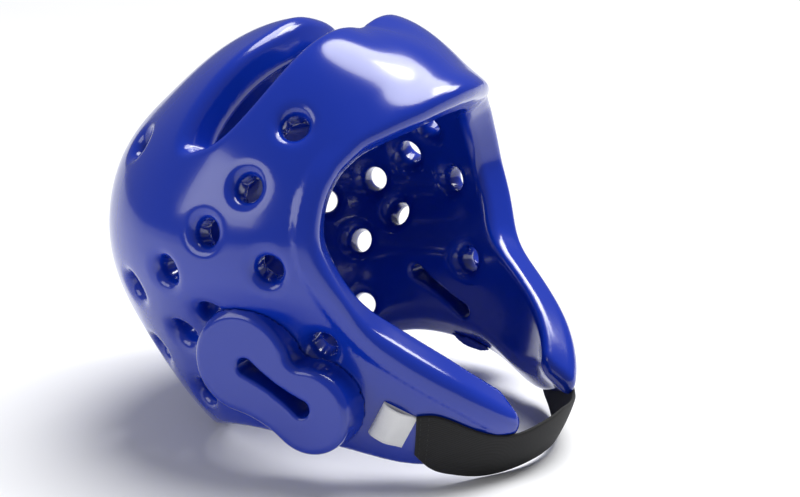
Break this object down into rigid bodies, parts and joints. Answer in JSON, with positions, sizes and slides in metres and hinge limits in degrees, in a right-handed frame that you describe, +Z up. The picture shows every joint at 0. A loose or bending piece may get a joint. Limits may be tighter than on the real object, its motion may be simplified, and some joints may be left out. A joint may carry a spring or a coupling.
{
  "type": "sparring headgear",
  "caption": "Dipped foam sparring headgear with an open face, a crown slot, round vents, raised ear pads, an elastic chin strap and a bare loop label.",
  "frame": {"origin": "centre of the bounding box at floor level", "axes": "+Z up from the floor, -Y the way the face opening looks, -X the wearer's right"},
  "size_m": [0.2456, 0.3031, 0.2473],
  "materials": {
    "shell_foam": "glossy dipped vinyl skin over soft foam",
    "pad_foam": "glossy dipped vinyl skin over soft foam",
    "webbing": "matt knitted elastic",
    "satin": "white satin ribbon"
  },
  "bodies": {
    "root": {"foam_shell": "shell_foam", "ear_pad_right": "pad_foam", "ear_pad_left": "pad_foam", "chin_strap": "webbing", "loop_label": "satin"}
  },
  "joints": []
}
